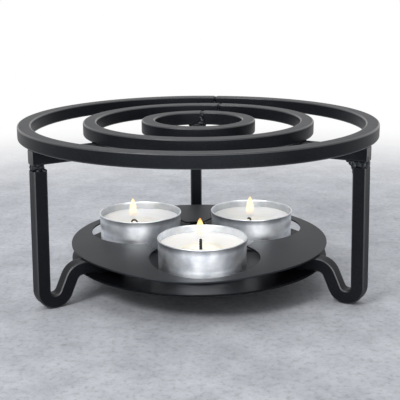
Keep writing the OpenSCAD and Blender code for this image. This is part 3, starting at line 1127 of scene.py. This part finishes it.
# %% Dress the remaining nodes
KEPT = {"plate_welds": weld_coat}
KEPT.update({side + "_sustainer": tinned_sheet for side in RECESSES})
for node, finish in KEPT.items():
    for slot in frame["nodes"][node].material_slots:
        slot.link = "OBJECT"
        slot.material = finish
print("dressed", ", ".join(KEPT))

# %% [markdown]
# ## Floor, backdrop and light
# The stand is shown on a pale stone floor in a white room. One noise gives the stone its clouds and
# a finer one its dark specks. The floor is one large disc that keeps the shadows. Far from the
# middle it turns white, so the background is the same from every side.

# %% Make the floor's stone
FLOOR_FADE = (0.17, 0.45)
WHITE = (1.0, 1.0, 1.0, 1.0)


def seen_white(tree):
    """1 for rays that look at the backdrop, straight or by way of metal or wax."""
    rays = add_node(tree, "ShaderNodeLightPath").outputs
    direct = joined(tree, "MAXIMUM", rays["Is Camera Ray"], rays["Is Glossy Ray"])
    return joined(tree, "MAXIMUM", direct, rays["Is Transmission Ray"])


floor_finish, tree, shader = new_material("floor_finish")
place = object_place(tree)
stains = mottle(tree, place, scale=30.0, detail=10.0, roughness=0.78)
specks = mottle(tree, place, scale=420.0, detail=6.0, roughness=0.72)
stone = ramp(tree, stains, (0.30, (0.335, 0.35, 0.385)), (0.70, (0.595, 0.615, 0.655)))
dark_specks = ramp(tree, specks, (0.34, (0.74, 0.74, 0.74)), (0.50, (1.0, 1.0, 1.0)))
feed(
    tree, shader,
    Base_Color=multiplied(tree, stone, 1.0, dark_specks),
    Roughness=level(tree, stains, 0.60, 0.75),
    Specular_IOR_Level=0.2,
)
away = add_node(tree, "ShaderNodeVectorMath", {"operation": "LENGTH"}, Vector=place)
fade = add_node(
    tree, "ShaderNodeMapRange", {"interpolation_type": "SMOOTHSTEP"},
    Value=away.outputs["Value"], From_Min=FLOOR_FADE[0], From_Max=FLOOR_FADE[1],
)
white_share = joined(tree, "MULTIPLY", fade.outputs["Result"], seen_white(tree))
white_glow = add_node(tree, "ShaderNodeEmission", Color=WHITE, Strength=1.0)
mixed = add_node(tree, "ShaderNodeMixShader", Fac=white_share)
tree.links.new(shader.outputs["BSDF"], mixed.inputs[1])
tree.links.new(white_glow.outputs["Emission"], mixed.inputs[2])
feed(tree, tree.nodes["Material Output"], Surface=mixed.outputs["Shader"])

# %% Lay the floor
FLOOR_R = 4.0
FLOOR_STEPS = 96

bm = bmesh.new()
bmesh.ops.create_circle(bm, cap_ends=True, radius=FLOOR_R, segments=FLOOR_STEPS)
mesh = bpy.data.meshes.new("floor")
bm.to_mesh(mesh)
bm.free()
mesh.materials.append(floor_finish)
floor = bpy.data.objects.new("floor", mesh)
bpy.context.scene.collection.objects.link(floor)
print("floor of %.0f m radius" % FLOOR_R)

# %% [markdown]
# Light comes from the white room itself, from a large soft panel overhead and from a smaller key
# panel at the front left, which gives the shadows a direction. The world lights the scene evenly
# with a soft grey, but the camera and shiny metal see it white. A wide panel low in front lights
# nothing that is matt. It only shows as a glint in the cups and the coat, like the strip light of a
# photo studio.

# %% Set the light
WORLD_LIGHT = 0.52
LIT_PLACE = Vector((0, 0, 0.03))


def soft_panel(name, place, width, height, power):
    """A rectangular area light that faces the stand."""
    light = bpy.data.lights.new(name, "AREA")
    light.shape = "RECTANGLE"
    light.size = width
    light.size_y = height
    light.energy = power
    panel = bpy.data.objects.new(name, light)
    panel.location = place
    panel.rotation_euler = (LIT_PLACE - Vector(place)).to_track_quat("-Z", "Y").to_euler()
    bpy.context.scene.collection.objects.link(panel)
    print("light:", name)
    return panel


world = bpy.data.worlds.new("room")
bpy.context.scene.world = world
world.use_nodes = True
tree = world.node_tree
room_light = level(tree, seen_white(tree), WORLD_LIGHT, 1.0)
feed(tree, tree.nodes["Background"], Color=WHITE, Strength=room_light)

soft_panel("overhead_panel", (0.05, 0.2, 1.1), width=0.9, height=0.9, power=4.6)
soft_panel("key_panel", (-0.55, -0.6, 0.75), width=0.3, height=0.3, power=5.2)
glint = soft_panel("glint_panel", (0.03, -1.1, 0.25), width=2.0, height=0.5, power=19.0)
glint.visible_diffuse = False
bpy.context.scene.view_settings.view_transform = "Standard"
